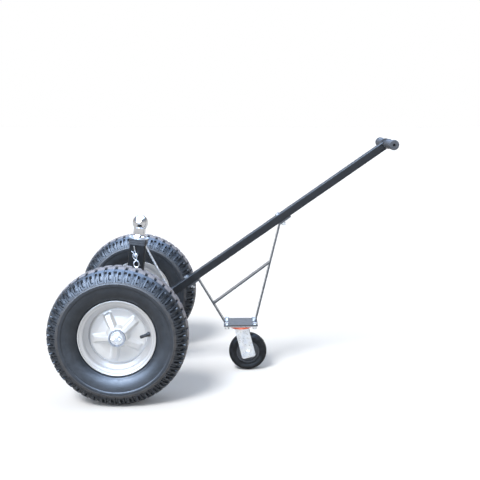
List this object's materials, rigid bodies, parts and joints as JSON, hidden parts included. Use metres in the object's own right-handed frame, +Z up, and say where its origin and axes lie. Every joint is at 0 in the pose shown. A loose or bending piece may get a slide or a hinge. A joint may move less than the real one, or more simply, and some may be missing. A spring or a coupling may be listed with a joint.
{
  "type": "manual trailer dolly",
  "caption": "Two-wheeled hand dolly for moving a trailer: hitch ball on a leaning mast, long braced tongue with a T-handle, and a swivel caster.",
  "frame": {"origin": "on the floor under the centre of the overall box", "axes": "+X from the axle toward the handle, +Y across to the left wheel, +Z up"},
  "size_m": [1.062, 0.6592, 0.7721],
  "materials": {
    "black_paint": "satin",
    "bright_zinc": "bright zinc plate",
    "plain_steel": "satin",
    "bearing_steel": "polished",
    "chrome": "polished",
    "tyre_rubber": "satin",
    "silver_paint": "satin silver",
    "stem_rubber": "satin",
    "grip_rubber": "matt",
    "black_plastic": "matt",
    "orange_plastic": "satin"
  },
  "bodies": {
    "chassis": {"axle_bar": "black_paint", "spindle_left": "plain_steel", "spindle_right": "plain_steel", "spindle_washers": "bright_zinc", "spindle_nuts": "bright_zinc", "cotter_pins": "bright_zinc", "inner_races": "bearing_steel", "mast_tube": "black_paint", "mast_collar": "black_plastic", "gusset_left": "black_paint", "gusset_right": "black_paint", "brace_rod": "bright_zinc", "tongue_tube": "black_paint", "tongue_end_plug": "black_plastic", "handle_stub": "black_paint", "handle_bar": "black_paint", "handle_screw": "black_paint", "grip_left": "grip_rubber", "grip_right": "grip_rubber", "tongue_bolts": "bright_zinc", "tongue_nuts": "bright_zinc", "leg_rear": "black_paint", "leg_front": "black_paint", "caster_crossbar": "black_paint", "platform": "black_paint", "platform_bolts": "bright_zinc", "platform_nuts": "bright_zinc", "caster_top_plate": "bright_zinc", "king_pin": "bright_zinc", "king_nut": "bright_zinc"},
    "left_wheel": {"tyre_left": "tyre_rubber", "rim_left": "silver_paint", "wheel_disc_left": "silver_paint", "hub_left": "plain_steel", "outer_races_left": "bearing_steel", "bearing_balls_left": "bearing_steel", "valve_stem_left": "stem_rubber", "valve_cap_left": "black_plastic"},
    "right_wheel": {"tyre_right": "tyre_rubber", "rim_right": "silver_paint", "wheel_disc_right": "silver_paint", "hub_right": "plain_steel", "outer_races_right": "bearing_steel", "bearing_balls_right": "bearing_steel", "valve_stem_right": "stem_rubber", "valve_cap_right": "black_plastic"},
    "ball_post": {"post_tube": "plain_steel", "post_plug": "plain_steel", "ball_plate": "plain_steel", "hitch_ball": "chrome"},
    "hitch_pin": {"hitch_pin": "bright_zinc", "pin_clip": "bright_zinc"},
    "caster_fork": {"caster_fork": "bright_zinc", "dust_ring": "orange_plastic", "swivel_balls": "bearing_steel", "caster_axle_bolt": "bright_zinc", "caster_axle_nut": "bright_zinc", "caster_bush": "bright_zinc"},
    "caster_wheel": {"caster_tyre": "tyre_rubber", "caster_hub": "black_plastic"}
  },
  "joints": [
    {"name": "left_wheel_spin", "type": "hinge", "parent": "chassis", "child": "left_wheel", "pos_m": [-0.3225, 0.27, 0.2085], "axis": [0, 1, 0], "continuous": true},
    {"name": "right_wheel_spin", "type": "hinge", "parent": "chassis", "child": "right_wheel", "pos_m": [-0.3225, -0.27, 0.2085], "axis": [0, 1, 0], "continuous": true},
    {"name": "ball_post_slide", "type": "slide", "parent": "chassis", "child": "ball_post", "axis": [0.1219, 0, 0.9925], "range_m": [0, 0.12]},
    {"name": "hitch_pin_turn", "type": "hinge", "parent": "chassis", "child": "hitch_pin", "pos_m": [-0.29398, 0, 0.40006], "axis": [0, 1, 0], "continuous": true},
    {"name": "caster_swivel", "type": "hinge", "parent": "chassis", "child": "caster_fork", "pos_m": [0.045, 0, 0.15], "axis": [0, 0, 1], "continuous": true},
    {"name": "caster_wheel_spin", "type": "hinge", "parent": "caster_fork", "child": "caster_wheel", "pos_m": [0.0693, 0, 0.0635], "axis": [0, 1, 0], "continuous": true}
  ]
}
